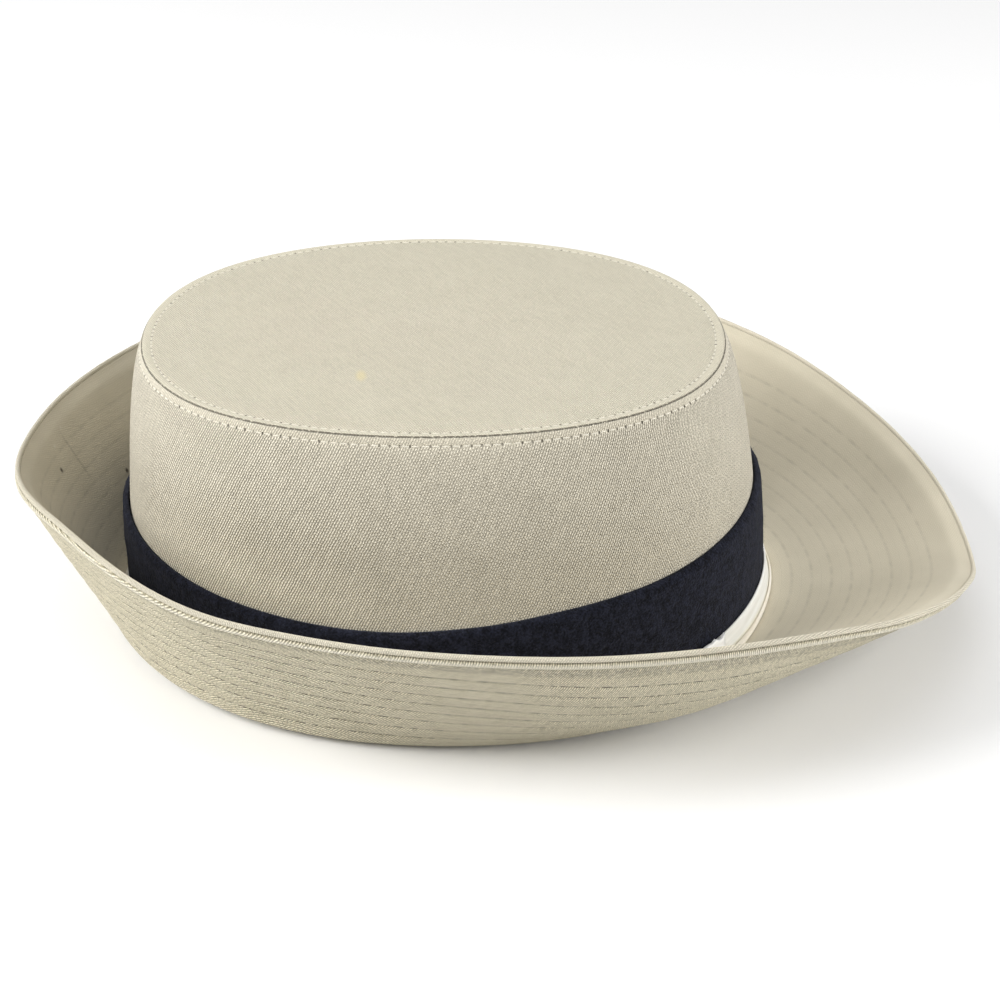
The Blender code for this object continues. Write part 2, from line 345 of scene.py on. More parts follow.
def wire(tree, kind, feeds, output=0, **settings):
    """Adds a shader node with its settings, feeds its inputs and returns one of its outputs."""
    node = tree.nodes.new("ShaderNode" + kind)
    for name, value in settings.items():
        setattr(node, name, value)
    feed(tree, node, feeds)
    return Wired(tree, node.outputs[output])


def on_map(tree, name):
    """The place on one of a piece's maps: cloth, laid flat, or sewing, along and across the stitches."""
    return wire(tree, "UVMap", {}, uv_map=name)


def new_material(name):
    material = bpy.data.materials.new(name)
    material.use_nodes = True
    return material, material.node_tree


def dress(tree, finish, colour, height=None, strength=1.0, depth=0.0):
    """Gives a material's shader its finish and colour, and a bump where a height is given."""
    inputs = {"Base Color": colour, **finish}
    if height is not None:
        inputs["Normal"] = wire(tree, "Bump", {"Height": height, "Strength": strength, "Distance": depth})
    feed(tree, tree.nodes["Principled BSDF"], inputs)


def spot(flat, place, size):
    """A soft oval mark on the cloth: 1 at its middle, 0 from its size on."""
    offset = flat.vector_maths("SUBTRACT", (*place, 0.0))
    share = offset.vector_maths("MULTIPLY", (1.0 / size[0], 1.0 / size[1], 0.0))
    return share.vector_maths("LENGTH", output="Value").ramp(1.0, 0.2)


def ribs_of_floats(flat, pitch, lean, length):
    """Slanting ribs of short floats of yarn: 0 in the gaps between them, up to 1 on the palest."""
    loose = wire(flat.tree, "TexNoise", {"Vector": flat, "Scale": 0.3 / pitch, "Detail": 2.0}, "Color")
    wandering = loose.vector_maths("MULTIPLY_ADD", (WANDER * pitch, WANDER * pitch, 0.0), flat)
    turned = wandering.turned(radians(-lean))
    yarns = turned.speckle(0.6 / pitch, stretch=(0.16, 1.0, 1.0)).ramp(0.25, 0.75)
    feeds = {
        "Vector": turned,
        "Scale": FLOAT_ROW / pitch,
        "Row Height": FLOAT_ROW,
        "Brick Width": FLOAT_ROW * length,
        "Mortar Size": FLOAT_ROW * FLOAT_GAP,
        "Mortar Smooth": 1.0,
        "Color1": (0.5, 0.5, 0.5, 1.0),
        "Color2": (1.0, 1.0, 1.0, 1.0),
        "Mortar": (0.0, 0.0, 0.0, 1.0),
    }
    floats = wire(flat.tree, "TexBrick", feeds, "Color", squash=SHORT_FLOAT, squash_frequency=3)
    return floats * 0.6 + turned.ribbing(pitch, "Y") * 0.25 + yarns * 0.15


def off_row(tree, row_place, reach):
    """1 on a row of stitches and 0 away from it. Reach is where the change starts and ends."""
    return abs(on_map(tree, "sewing").part(1) - row_place).ramp(*reach)


def between_stitches(tree):
    """Place along a row of stitches: 0 in a stitch's middle and 0.5 at its ends."""
    return abs(on_map(tree, "sewing").part(0).maths("FRACT") - 0.5)


def pull(tree, scale, low, high, across=60.0, detail=3.0):
    """How far the thread is pulled in, 0 to 1, uneven along the rows and, with across, between them."""
    return on_map(tree, "sewing").speckle(scale, (1.0, across, 1.0), detail).ramp(low, high)


def seam_shade_line(tree):
    """The thin, dark, broken line where two edges of cloth meet: painted shade in the crevice between
    them.
    """
    return pull(tree, 2.3, 0.36, 0.52, across=0.0) * off_row(tree, SEAM_MAP, SEAM_LINE)


def needle_pits(tree, row_place):
    """The holes between stitches, some pulled open more than others: dents, with painted shade in them."""
    opened = pull(tree, 1.1, 0.38, 0.6, across=0.0, detail=2.0) * 0.85 + 0.15
    return between_stitches(tree).ramp(0.38, 0.46) * off_row(tree, row_place, PIT) * opened


def drawn_line(tree, row_place):
    """The thin shadow along each stitch that is pulled down into the cloth, deeper here and there."""
    dash = between_stitches(tree).ramp(0.43, 0.35)
    return dash * off_row(tree, row_place, STITCH_SHADE) * pull(tree, 0.9, 0.36, 0.62)


def puckered(tree, row_place):
    """The stitches' shadows, and the soft shade below the ridge where the cloth is pulled in."""
    height = on_map(tree, "sewing").part(1)
    pulls = on_map(tree, "cloth").speckle(700.0).ramp(0.7, 0.3)
    shade = height.ramp(*PULL_START) * height.ramp(*PULL_END) * pulls * 0.4
    return shade.maths("MAXIMUM", drawn_line(tree, row_place) * 0.8)


def soft_groove(tree, row_place):
    """A faint shade along a row, stronger and weaker from stitch to stitch."""
    return off_row(tree, row_place, GROOVE_SHADE) * pull(tree, 0.8, 0.3, 0.7)


def twill(
    name, pale, deep, pitch, lean, relief, sewn, darkness,
    row_place=0.0, extra=None, pressed=1.0, hem=0.0, wear_and_highlight=0.0, dent=1.5, seams=0.7, float_length=1.6,
):
    """Cotton twill: steep ribs broken into short floats, uneven yarn, and sewing marks with painted shade.

    Pressed is the share of the weave that shows away from the turned edges, hem is the width of the
    strip along a seam where the cloth is smooth, wear_and_highlight is how much paler the turned edges
    are, from rubbing wear and a painted highlight, dent is how deep the marks lie in units of the
    weave's relief, seams is how dark the painted shade along a seam is, and float_length is in pitches.
    """
    material, tree = new_material(name)
    flat = on_map(tree, "cloth")
    height = on_map(tree, "sewing").part(1)
    # The sewing's pits, grooves, stitch shadows and seams: painted shade in the colour, dents in the bump.
    marks = (sewn(tree, row_place) * darkness).maths("MAXIMUM", seam_shade_line(tree) * seams)
    yarn = flat.speckle(1500.0, stretch=(1.0, 0.5, 1.0))
    weave = yarn * 0.35 + ribs_of_floats(flat, pitch, lean, float_length)
    if pressed < 1.0:
        edge = height.ramp(*EDGE_STEP) * height.ramp(*ROLL_TURN)
        weave = (weave - WEAVE_LEVEL) * (edge * (1.0 - pressed) + pressed) + WEAVE_LEVEL
    if hem:
        near = height.ramp(SEAM_MAP + hem + HEM_FADE, SEAM_MAP + hem)
        weave = (weave - WEAVE_LEVEL) * (near * (HEM_RELIEF - 1.0) + 1.0) + (near * -HEM_DIP + WEAVE_LEVEL)
    tone = (flat.speckle(60.0, detail=3.0) * 0.2 + weave).ramp(0.2, 1.15)
    colour = tone.blend(deep, pale)
    if extra:
        colour = extra(flat, colour)
    # Turned edges paler: rubbing wear, and a painted highlight on the rolled rim and the ridge.
    if wear_and_highlight:
        start, full = WEAR_AND_HIGHLIGHT_REACH
        colour = (height.ramp(SEAM_MAP + start, SEAM_MAP + full) * wear_and_highlight).blend(colour, EDGE_PALE)
    dress(tree, TWILL_FINISH, marks.blend(colour, KHAKI_SHADE), weave - marks * dent, 1.0, relief)
    return material


def wall_outline(azimuth, girth, stitches):
    """The wall's section: up its outer face, in over its turned edge and down its lining."""
    height = wall_height(azimuth)
    start = 1.0 - WALL_EDGE[0]["drop"] / height
    rises = [(start * k / 20, 0.0) for k in range(20)]
    rises += [(1.0 - row["drop"] / height, row["proud"]) for row in WALL_EDGE]
    out = outward(azimuth)
    entries = []
    for rise, proud in rises:
        lump = noise.noise(Vector((out.x * 3.0, out.y * 3.0, rise * 2.5)))
        lump *= WALL_UNEVENNESS * sin(pi * rise)
        sewing = (stitches, SEAM_MAP + (1.0 - rise) * height)
        entries.append((wall(azimuth, rise, proud + lump), (girth, rise * height), sewing))
    for k in range(8):
        rise = (1.0 - WALL / height) * (1.0 - k / 7)
        sewing = (stitches, SEAM_MAP + SEAM_HEIGHT)
        entries.append((wall(azimuth, rise, -WALL), (girth, rise * height), sewing))
    return entries


def crown_wall_piece():
    turns = azimuths(CROWN_AROUND)
    middle_line = running_lengths([wall(azimuth, 0.5, 0.0) for azimuth in turns])
    row = [wall(azimuth, 1.0 - TOPSTITCH_SET / wall_height(azimuth), 0.0) for azimuth in turns]
    numbers = stitch_numbers(row, SEAM_STITCH)
    mesh = ring_of_cloth([wall_outline(*column) for column in zip(turns, middle_line, numbers)])
    cloth = twill(
        "khaki_twill_wall", KHAKI_PALE, KHAKI_DEEP, 0.00076, 62.0, 0.0007, needle_pits, 0.95,
        row_place=TOPSTITCH_ROW, hem=TOPSTITCH_SET,
    )
    set_in_place("crown_wall_twill", mesh, cloth, "khaki_twill", "crown_wall")


crown_wall_piece()

# Crown top
# One oval of the same twill, laid with its lining fabric over the wall's top edge. Its edge is
# turned under at the seam, and it rises a little towards its middle.
TOP_DOME = 0.002
TOP_HALF = TOP_WIDTH / 2
TOP_SIDE = 128  # squares along each side of the grid that is drawn out into the oval
TOP_LIFT = 0.00016  # the two turned edges nearly touch at the seam
TURNED_UNDER = 0.0009
TURNED_DROP = 0.0001
LINING_DROP = 0.7 * WALL
TOP_PALE = (0.76, 0.71, 0.57)
TOP_DEEP = (0.50, 0.465, 0.36)
STAIN = (0.80, 0.69, 0.36)
STAIN_PLACE = (-0.043, -0.0358)
STAIN_SIZE = (0.0024, 0.0055)
STAIN_STRENGTH = 0.5

# The top's edge: distance in from the seam, and height over the plain dome.
TOP_EDGE = table(
    "inset proud",
    (0.0, -0.0001),
    (0.0001, 0.00012),
    (0.0004, 0.00024),
    (0.0009, 0.00028),
    (0.0015, 0.0002),
    (0.0021, 0.0),
    (0.0025, -0.00014),
    (0.0029, -0.00004),
    (0.0036, 0.00004),
    (0.0048, 0.0),
)


def top_point(azimuth, inset_share, proud):
    """A point of the dome: a share of the way from the seam to the middle, and a height over it."""
    middle = MIDDLE + Vector((-TOP_SETBACK, 0.0, SEAM_HEIGHT))
    rise = TOP_DOME * (1 - (1 - inset_share) ** 2) + TOP_LIFT + proud
    return seam(azimuth).lerp(middle, inset_share) + UP * rise


def stained(flat, colour):
    """A small pale yellow stain near the back right of the top."""
    return (spot(flat, STAIN_PLACE, STAIN_SIZE) * STAIN_STRENGTH).blend(colour, STAIN)


def draw_in(mesh, reach, drop):
    """Carries the top's open edge on, in towards the middle and down."""
    rim = [e for e in mesh.edges if e.is_boundary]
    drawn = bmesh.ops.extrude_edge_only(mesh, edges=rim)
    for vertex in (item for item in drawn["geom"] if isinstance(item, bmesh.types.BMVert)):
        inward = (MIDDLE - vertex.co).xy.normalized() * reach
        vertex.co += Vector((inward.x, inward.y, -drop))


def crown_top_piece():
    """A square grid drawn out into an oval, so that the cloth has no pole at its middle."""
    mesh = bmesh.new()
    cloth = mesh.loops.layers.uv.new("cloth")
    sewing = mesh.loops.layers.uv.new("sewing")
    bmesh.ops.create_grid(mesh, x_segments=TOP_SIDE, y_segments=TOP_SIDE, size=1.0)
    rings = TOP_SIDE // 2
    edge = [(row["inset"] / TOP_HALF, row["proud"]) for row in TOP_EDGE]
    plain = rings - len(edge) + 1
    inner_edge = edge[-1][0]
    turns = azimuths(CROWN_AROUND)
    row = [top_point(azimuth, TOPSTITCH_SET / TOP_HALF, 0.0) for azimuth in turns]
    numbers = stitch_numbers(row, SEAM_STITCH)
    entries = {}
    for vertex in mesh.verts:
        x, y = vertex.co.xy
        ring = round(max(abs(x), abs(y)) * rings)
        if abs(x) >= abs(y):
            azimuth = 45.0 * y / x if x else 0.0
            azimuth += 180.0 if x < 0 else 0.0
        else:
            azimuth = (90.0 if y > 0 else -90.0) - 45.0 * x / y
        azimuth = (azimuth + 180.0) % 360.0 - 180.0
        from_edge = rings - ring
        if from_edge < len(edge):
            share, proud = edge[from_edge]
        else:
            share = 1.0 - (1.0 - inner_edge) * ring / plain
            proud = 0.0
        point = top_point(azimuth, share, proud)
        lump = noise.noise(Vector((point.x, point.y, 0.0)) * 28.0)
        point.z += WALL_UNEVENNESS * lump * eased(share * 5.0)
        place = (azimuth + 180.0) / 360.0 * CROWN_AROUND
        k = min(int(place), CROWN_AROUND - 1)
        number = numbers[k] + (numbers[k + 1] - numbers[k]) * (place - k)
        entries[vertex] = (point, (point.x, point.y), (number, SEAM_MAP + share * TOP_HALF))
    for face in mesh.faces:
        corners = [entries[loop.vert][2][0] for loop in face.loops]
        for loop, number in zip(face.loops, corners):
            if max(corners) - number > numbers[-1] / 2:
                number += numbers[-1]
            loop[cloth].uv = entries[loop.vert][1]
            loop[sewing].uv = (number, entries[loop.vert][2][1])
    for vertex, entry in entries.items():
        vertex.co = entry[0]
    draw_in(mesh, TURNED_UNDER, TURNED_DROP)
    draw_in(mesh, WALL, LINING_DROP)
    rim = [e for e in mesh.edges if e.is_boundary]
    bmesh.ops.contextual_create(mesh, geom=rim)
    khaki = twill(
        "khaki_twill_top", TOP_PALE, TOP_DEEP, 0.0007, 118.0, 0.0004, needle_pits, 0.9,
        row_place=TOPSTITCH_ROW, extra=stained, hem=TOPSTITCH_SET,
    )
    set_in_place("crown_top_twill", mesh, khaki, "khaki_twill", "crown_top")


crown_top_piece()

# Crown topstitching
# A row of lockstitch on each side of the seam, in thread a shade paler than the cloth.
THREAD_WIDTH = 0.00048
THREAD_HEIGHT = 0.0004
STITCH_SHARE = 0.74  # of the pitch that the thread covers
THREAD_SINK = 0.00006  # how far a stitch's middle lies below the face that it is sewn on
GROOVE_SINK = 0.0001  # how far that face lies below the plain cloth
THREAD_COLOUR = (0.86, 0.815, 0.69)
THREAD_FINISH = {"Roughness": 0.6, "Sheen Weight": 0.15}

seed(11)


def thread(name, colour):
    material, tree = new_material(name)
    plies = wire(tree, "TexCoord", {}, "Object").speckle(2600.0)
    shade = tuple(0.8 * c for c in colour)
    dress(tree, THREAD_FINISH, plies.ramp(0.35, 0.7).blend(shade, colour), plies, 0.6, 0.0001)
    return material


def one_stitch(length, width, height):
    """A slim spindle of thread that lies along X, with few faces because thousands are sewn."""
    mesh = bmesh.new()
    bmesh.ops.create_uvsphere(mesh, u_segments=6, v_segments=5, radius=0.5)
    bmesh.ops.rotate(mesh, verts=mesh.verts, matrix=Matrix.Rotation(radians(90.0), 3, "Y"))
    bmesh.ops.scale(mesh, verts=mesh.verts, vec=(length, width, height))
    return made("stitch", mesh)


def add_copy(mesh, data, placing):
    copy = data.copy()
    copy.transform(placing)
    mesh.from_mesh(copy)
    bpy.data.meshes.remove(copy)


def sew_row(mesh, points, normals, numbers, width=THREAD_WIDTH, height=THREAD_HEIGHT, sink=THREAD_SINK):
    """Sews a row of stitches along points; each lies on the face that its normal leaves.

    Numbers are how many stitches lie before each point, as on the sewing map.
    """
    count = round(numbers[-1])
    step = running_lengths(points)[-1] / count
    stitch = one_stitch(step * STITCH_SHARE, width, height)
    k = 0
    for number in range(count):
        place = number + 0.5
        while numbers[k + 1] < place:
            k += 1
        share = (place - numbers[k]) / (numbers[k + 1] - numbers[k])
        up = normals[k].lerp(normals[k + 1], share).normalized()
        along = (points[k + 1] - points[k]).normalized()
        across = up.cross(along).normalized()
        skew = uniform(-0.05, 0.05)
        along = (along + across * skew).normalized()
        across = up.cross(along).normalized()
        middle = points[k].lerp(points[k + 1], share) - up * sink
        turn = Matrix((along, across, across.cross(along) * -1.0)).transposed().to_4x4()
        add_copy(mesh, stitch, Matrix.Translation(middle) @ turn)
    bpy.data.meshes.remove(stitch)


def topstitching():
    mesh = bmesh.new()
    low, low_up, high, high_up = [], [], [], []
    for azimuth in azimuths(CROWN_AROUND):
        rise = 1.0 - TOPSTITCH_SET / wall_height(azimuth)
        below, here, above = (wall(azimuth, rise + step, -GROOVE_SINK) for step in (-0.01, 0.0, 0.005))
        side = UP.cross(outward(azimuth))
        low.append(here)
        low_up.append(side.cross((above - below).normalized()).normalized())
        high.append(top_point(azimuth, TOPSTITCH_SET / TOP_HALF, -GROOVE_SINK))
        high_up.append(UP)
    sew_row(mesh, low, low_up, stitch_numbers(low, SEAM_STITCH))
    sew_row(mesh, high, high_up, stitch_numbers(high, SEAM_STITCH))
    set_in_place("crown_topstitching", mesh, thread("khaki_thread", THREAD_COLOUR), "khaki_twill")


topstitching()

# Brim
# Two layers of twill with stiff interlining, sewn together in nine rows. The upper cloth is rolled
# over the rim, and the under cloth ends in a corded ridge below it. The sides and back turn up.
BRIM_WIDTH = 0.070
ROOT_TUCK = 0.0022
FLAT_ROOT = 0.0024
BEND_LENGTH = 0.0054
LIP = 0.0006
RIM_GAP = 0.0001  # between the two turned edges under the rim
FIRST_ROW = 0.01315  # from the rim, on a brim of the full width
ROW_SPACING = 0.00642
ROW_COUNT = 9
BRIM_STITCH = 0.0039
ROW_DEPTH = 0.00028
PILLOW = 0.00016
UPPER_DRAW = 0.06  # how far the rows draw in the upper cloth, as a share of the under cloth
RIM_PRESS = 0.0005  # how far the under face is pressed in at the rim
BEAD_PRESS = 0.0012  # how far the upper face is pressed in, behind the rolled rim
PRESS_LENGTH = 0.006
RIM_DEPTH = 0.00185  # of the roll's middle, below the upper face
RIM_RADIUS = 0.0008
RIDGE_HEIGHT = 0.0011
RIDGE_WIDTH = 0.0024
RIM_RAG = 0.12  # how uneven the roll is, as a share of its radius
RIM_LUMPS = 190.0  # lumps of the roll in a metre
RIM_TURNS = (130, 112, 94, 76, 58, 40, 22, 4, -14, -32, -50, -68, -84)  # degrees round the roll
BRIM_AROUND = 480
PATH_STEPS = 60
BRIM_UNEVENNESS = 0.0006
BRIM_LUMPS = 22.0
GROOVE_WIDTH = 0.0007
RING_OFFSETS = (0.45, 0.3, 0.17, 0.09, 0.03, -0.03, -0.09, -0.17, -0.3, -0.45)  # of rings, in rows
INSIDE_SHARES = (0.9, 0.75, 0.6, 0.45, 0.3, 0.2, 0.12, 0.05, 0.0)  # of the way out, inside the brim
RIDGE_SHARES = (0.08, 0.2, 0.35, 0.5, 0.65, 0.8, 0.92, 1.0)
RIDGE_SINK = 0.00008  # how far the ridge's end dips at the seam
BRIM_PALE = (0.85, 0.78, 0.62)
BRIM_DEEP = (0.51, 0.465, 0.345)
UNDER_PALE = (0.97, 0.895, 0.69)
UNDER_DEEP = (0.37, 0.33, 0.21)
BACK_SEAM = 0.0225  # length of the join in the upper cloth, near the back
BACK_SEAM_FADE = 0.006
BACK_SEAM_LINE = (0.001, 0.0001)
BACK_SEAM_MIDDLE = (-0.1566, 0.03185)
BACK_SEAM_TURN = radians(-7.84)
BACK_TICKS = [(-0.1664, 0.0352), (-0.1657, 0.0252)]
BACK_DOTS = [(-0.1593, 0.0194), (-0.135, 0.0475)]
TICK = (0.78, 0.74, 0.62)
TICK_SIZE = (0.0011, 0.0011)
DOT_SIZE = (0.0013, 0.0013)

# The brim's sections at azimuths from the front: slopes in degrees where it leaves the wall and at its
# rim, and width as a share of BRIM_WIDTH.
BRIM_SECTIONS = table(
    "azimuth root_slope rim_slope width",
    (0.0, 2.5, 9.0, 1.0),
    (15.0, 3.5, 25.0, 0.99),
    (30.0, 9.0, 41.0, 1.0),
    (45.0, 15.0, 56.0, 1.05),
    (60.0, 19.0, 65.0, 1.1),
    (90.0, 50.0, 52.0, 1.06),
    (120.0, 65.0, 50.0, 0.99),
    (150.0, 69.0, 60.0, 0.91),
    (180.0, 50.0, 64.0, 0.86),
)

# The turned lip under the rim: share of the way back to its end, and how far it bulges down.
LIP_SECTIONS = table(
    "back bulge",
    (0.1, 0.00006),
    (0.35, 0.00008),
    (0.6, 0.00004),
    (0.85, 0.0),
    (1.0, -0.0001),
)


class BrimLine:
    """The brim's section at one azimuth. Column is its number among the ones that are skinned."""

    def __init__(self, azimuth, column=0):
        side = abs(azimuth)
        self.column = column
        self.out = outward(azimuth)
        self.start = foot(azimuth)
        self.width = BRIM_WIDTH * between(BRIM_SECTIONS, "azimuth", side, "width")
        root = radians(between(BRIM_SECTIONS, "azimuth", side, "root_slope"))
        rim = radians(between(BRIM_SECTIONS, "azimuth", side, "rim_slope"))
        self.under_end = self.width - LIP - RIM_GAP
        step = self.width / PATH_STEPS
        self.path = [(0.0, 0.0, 0.0)]
        for k in range(PATH_STEPS):
            distance = (k + 0.5) * step
            full = root + (rim - root) * distance / self.width
            slope = full * eased((distance - FLAT_ROOT) / BEND_LENGTH)
            out, up, _ = self.path[-1]
            self.path.append((out + step * cos(slope), up + step * sin(slope), slope))

    def place(self, distance):
        """Out, up and slope at a distance along the upper face from the wall."""
        inside = min(max(distance, 0.0), self.width)
        steps = min(inside / self.width * PATH_STEPS, PATH_STEPS - 1e-6)
        k = int(steps)
        share = steps - k
        out, up, slope = (a * (1 - share) + b * share for a, b in zip(self.path[k], self.path[k + 1]))
        beyond = distance - inside
        return out + beyond * cos(slope), up + beyond * sin(slope), slope

    def unevenness(self, distance):
        """The brim's slight waves, which both layers share and which die away at its foot."""
        wave = noise.noise(Vector((*self.flat(distance), 0.0)) * BRIM_LUMPS)
        return BRIM_UNEVENNESS * wave * eased(distance / self.width * 2.0)

    def at(self, distance, depth):
        """A point of the brim: along its upper face, and down into its cloth."""
        out, up, slope = self.place(distance)
        depth += self.unevenness(distance)
        out += depth * sin(slope)
        up -= depth * cos(slope)
        return self.start + self.out * out + UP * up

    def upward(self, distance):
        """The upper face's normal."""
        slope = self.place(distance)[2]
        return self.out * -sin(slope) + UP * cos(slope)

    def flat(self, distance):
        """The place on the cloth laid flat, at a distance from the wall."""
        ground = self.start + self.out * distance
        return (ground.x, ground.y)

    def row(self, number):
        """The distance from the wall of a row of stitches; row 0 is nearest to the rim."""
        return self.width * (1.0 - (FIRST_ROW + ROW_SPACING * number) / BRIM_WIDTH)

    def nearest_row(self, distance):
        """The number of the nearest row, and how far it is."""
        number = ((1.0 - distance / self.width) * BRIM_WIDTH - FIRST_ROW) / ROW_SPACING
        row = min(max(round(number), 0), ROW_COUNT - 1)
        return row, distance - self.row(row)

    def pressed_in(self, distance, most):
        """How far a face is pressed in near the rim."""
        return most * eased((distance - self.width + PRESS_LENGTH) / PRESS_LENGTH)

    def quilting(self, distance):
        """How far the cloth is drawn in at a distance: a groove at each row, a pillow between."""
        row, offset = self.nearest_row(distance)
        groove = ROW_DEPTH * exp(-((offset / GROOVE_WIDTH) ** 2))
        pillow = PILLOW * sin(pi * min(abs(offset) / ROW_SPACING, 0.5)) ** 2
        return groove - pillow


brim_lines = [BrimLine(azimuth, k) for k, azimuth in enumerate(azimuths(BRIM_AROUND))]
row_numbers = [
    stitch_numbers([line.at(line.row(row), 0.0) for line in brim_lines], BRIM_STITCH)
    for row in range(ROW_COUNT)
]


def brim_distances(line, end):
    """Distances from the wall at which the cloth has its rings, close together at each row."""
    near_rows = [line.row(row + offset) for row in reversed(range(ROW_COUNT)) for offset in RING_OFFSETS]
    root = [-ROOT_TUCK, 0.0, FLAT_ROOT / 2]
    last = near_rows[-1]
    rim = [last + (end - last) * k / 8 for k in range(1, 9)]
    return root + near_rows + rim


def entry(line, distance, depth):
    row, offset = line.nearest_row(distance)
    return (line.at(distance, depth), line.flat(distance), (row_numbers[row][line.column], offset))


def inside_entry(line, share, end, depth):
    """An entry between the brim's two cloths, at a share of the way from its foot to the end."""
    return entry(line, end * share - ROOT_TUCK * (1 - share), depth)


def edge_entry(line, distance, depth, from_seam, laid):
    """An entry near the seam under the rim, with its distance from the seam on the sewing map.

    Laid is its distance from the wall with the cloth laid flat, which goes on round the rolled rim.
    """
    return (line.at(distance, depth), line.flat(laid), (row_numbers[0][line.column], SEAM_MAP + from_seam))


def brim_upper_outline(line):
    """Out along the upper face, round the rolled rim, back under it and home inside the brim."""
    outline = []
    for distance in brim_distances(line, line.width - RIM_RADIUS):
        depth = UPPER_DRAW * line.quilting(distance) + line.pressed_in(distance, BEAD_PRESS)
        outline.append(entry(line, distance, depth))
    rag = 1.0 + RIM_RAG * noise.noise(line.at(line.width, 0.0) * RIM_LUMPS)
    for turn in map(radians, RIM_TURNS):
        reach = line.width + RIM_RADIUS * rag * cos(turn)
        depth = RIM_DEPTH - RIM_RADIUS * sin(turn)
        laid = line.width + RIM_RADIUS * (pi / 2 - turn)
        from_seam = LIP + RIM_RADIUS * (turn + pi / 2)
        outline.append(edge_entry(line, reach, depth, from_seam, laid))
    for row in LIP_SECTIONS:
        depth = RIM_DEPTH + RIM_RADIUS + row["bulge"]
        laid = line.width + RIM_RADIUS * pi + LIP * row["back"]
        from_seam = LIP * (1.0 - row["back"])
        outline.append(edge_entry(line, line.width - LIP * row["back"], depth, from_seam, laid))
    for share in (0.98, *INSIDE_SHARES):
        outline.append(inside_entry(line, share, line.width - LIP, BRIM_CLOTH))
    return outline


def ridge(line, distance):
    """How far the corded ridge stands out from the under cloth."""
    place = (line.under_end - distance) / RIDGE_WIDTH
    if not 0.0 < place < 1.0:
        return 0.0
    return RIDGE_HEIGHT * sin(pi * place) ** 0.7


def brim_under_outline(line):
    """Home inside the brim, and out along the under face to the ridge."""
    end = line.under_end
    outline = [inside_entry(line, share, end, BRIM_CLOTH + GAP) for share in (0.99, *INSIDE_SHARES)]
    flat_end = end - RIDGE_WIDTH
    for distance in brim_distances(line, flat_end):
        depth = BRIM_THICKNESS - line.quilting(distance) - line.pressed_in(distance, RIM_PRESS)
        outline.append(entry(line, distance, depth))
    for share in RIDGE_SHARES:
        distance = flat_end + RIDGE_WIDTH * share
        sink = RIDGE_SINK if share == 1.0 else 0.0
        depth = BRIM_THICKNESS - line.pressed_in(distance, RIM_PRESS) + ridge(line, distance) - sink
        outline.append(edge_entry(line, distance, depth, end - distance, distance))
    return outline


def joined_and_marked(flat, colour):
    """The short seam where the upper cloth is joined at the back, drawn as a faint line of painted shade,
    and a few specks round it.
    """
    marks = [(place, TICK_SIZE, 0.6, TICK) for place in BACK_TICKS]
    marks += [(place, DOT_SIZE, 0.9, KHAKI_SHADE) for place in BACK_DOTS]
    for place, size, strength, mark_colour in marks:
        colour = (spot(flat, place, size) * strength).blend(colour, mark_colour)
    turned = flat.vector_maths("SUBTRACT", (*BACK_SEAM_MIDDLE, 0.0)).turned(-BACK_SEAM_TURN)
    line = abs(turned.part(1)).ramp(*BACK_SEAM_LINE)
    length = abs(turned.part(0)).ramp(BACK_SEAM / 2, BACK_SEAM / 2 - BACK_SEAM_FADE)
    return (line * length * 0.2).blend(colour, KHAKI_SHADE)


def brim_pieces():
    upper = ring_of_cloth([brim_upper_outline(line) for line in brim_lines])
    cloth = twill(
        "khaki_twill_brim", BRIM_PALE, BRIM_DEEP, 0.0007, 60.0, 0.0006, soft_groove, 0.18,
        extra=joined_and_marked, pressed=0.08, wear_and_highlight=0.2, dent=0.2, seams=0.5,
    )
    set_in_place("brim_upper_twill", upper, cloth, "khaki_twill", "brim_upper")
    under = ring_of_cloth([brim_under_outline(line) for line in brim_lines])
    cloth = twill(
        "khaki_twill_brim_under", UNDER_PALE, UNDER_DEEP, 0.00072, -55.0, 0.0010, puckered, 1.0,
        wear_and_highlight=0.6, seams=0.3, dent=1.0, float_length=3.2,
    )
    set_in_place("brim_under_twill", under, cloth, "khaki_twill", "brim_under")


brim_pieces()

# Brim stitching
# Nine rows of lockstitch through both layers, in thread a little darker than the cloth. It shows on
# both faces, drawn down into its groove; on the under face the thread is darker still, painted shade of
# that groove.
FINE_THREAD = 0.0003
UPPER_SINK = 0.00015
UNDER_SINK = 0.0001
UPPER_THREAD = (0.60, 0.545, 0.42)
# The under rows' thread is darker than the upper's, as painted shade of the groove that it lies in.
UNDER_THREAD_SHADE = (0.36, 0.32, 0.22)


def brim_stitching(name, colour, under):
    mesh = bmesh.new()
    sink = UNDER_SINK if under else UPPER_SINK
    for row in range(ROW_COUNT):
        points, normals = [], []
        for line in brim_lines:
            distance = line.row(row)
            draw = line.quilting(distance)
            points.append(line.at(distance, BRIM_THICKNESS - draw if under else UPPER_DRAW * draw))
            normals.append(line.upward(distance) * (-1.0 if under else 1.0))
        sew_row(mesh, points, normals, row_numbers[row], FINE_THREAD, FINE_THREAD, sink)
    set_in_place(name, mesh, thread(name, colour), "khaki_twill")


brim_stitching("brim_upper_stitches", UPPER_THREAD, under=False)
brim_stitching("brim_under_stitches", UNDER_THREAD_SHADE, under=True)

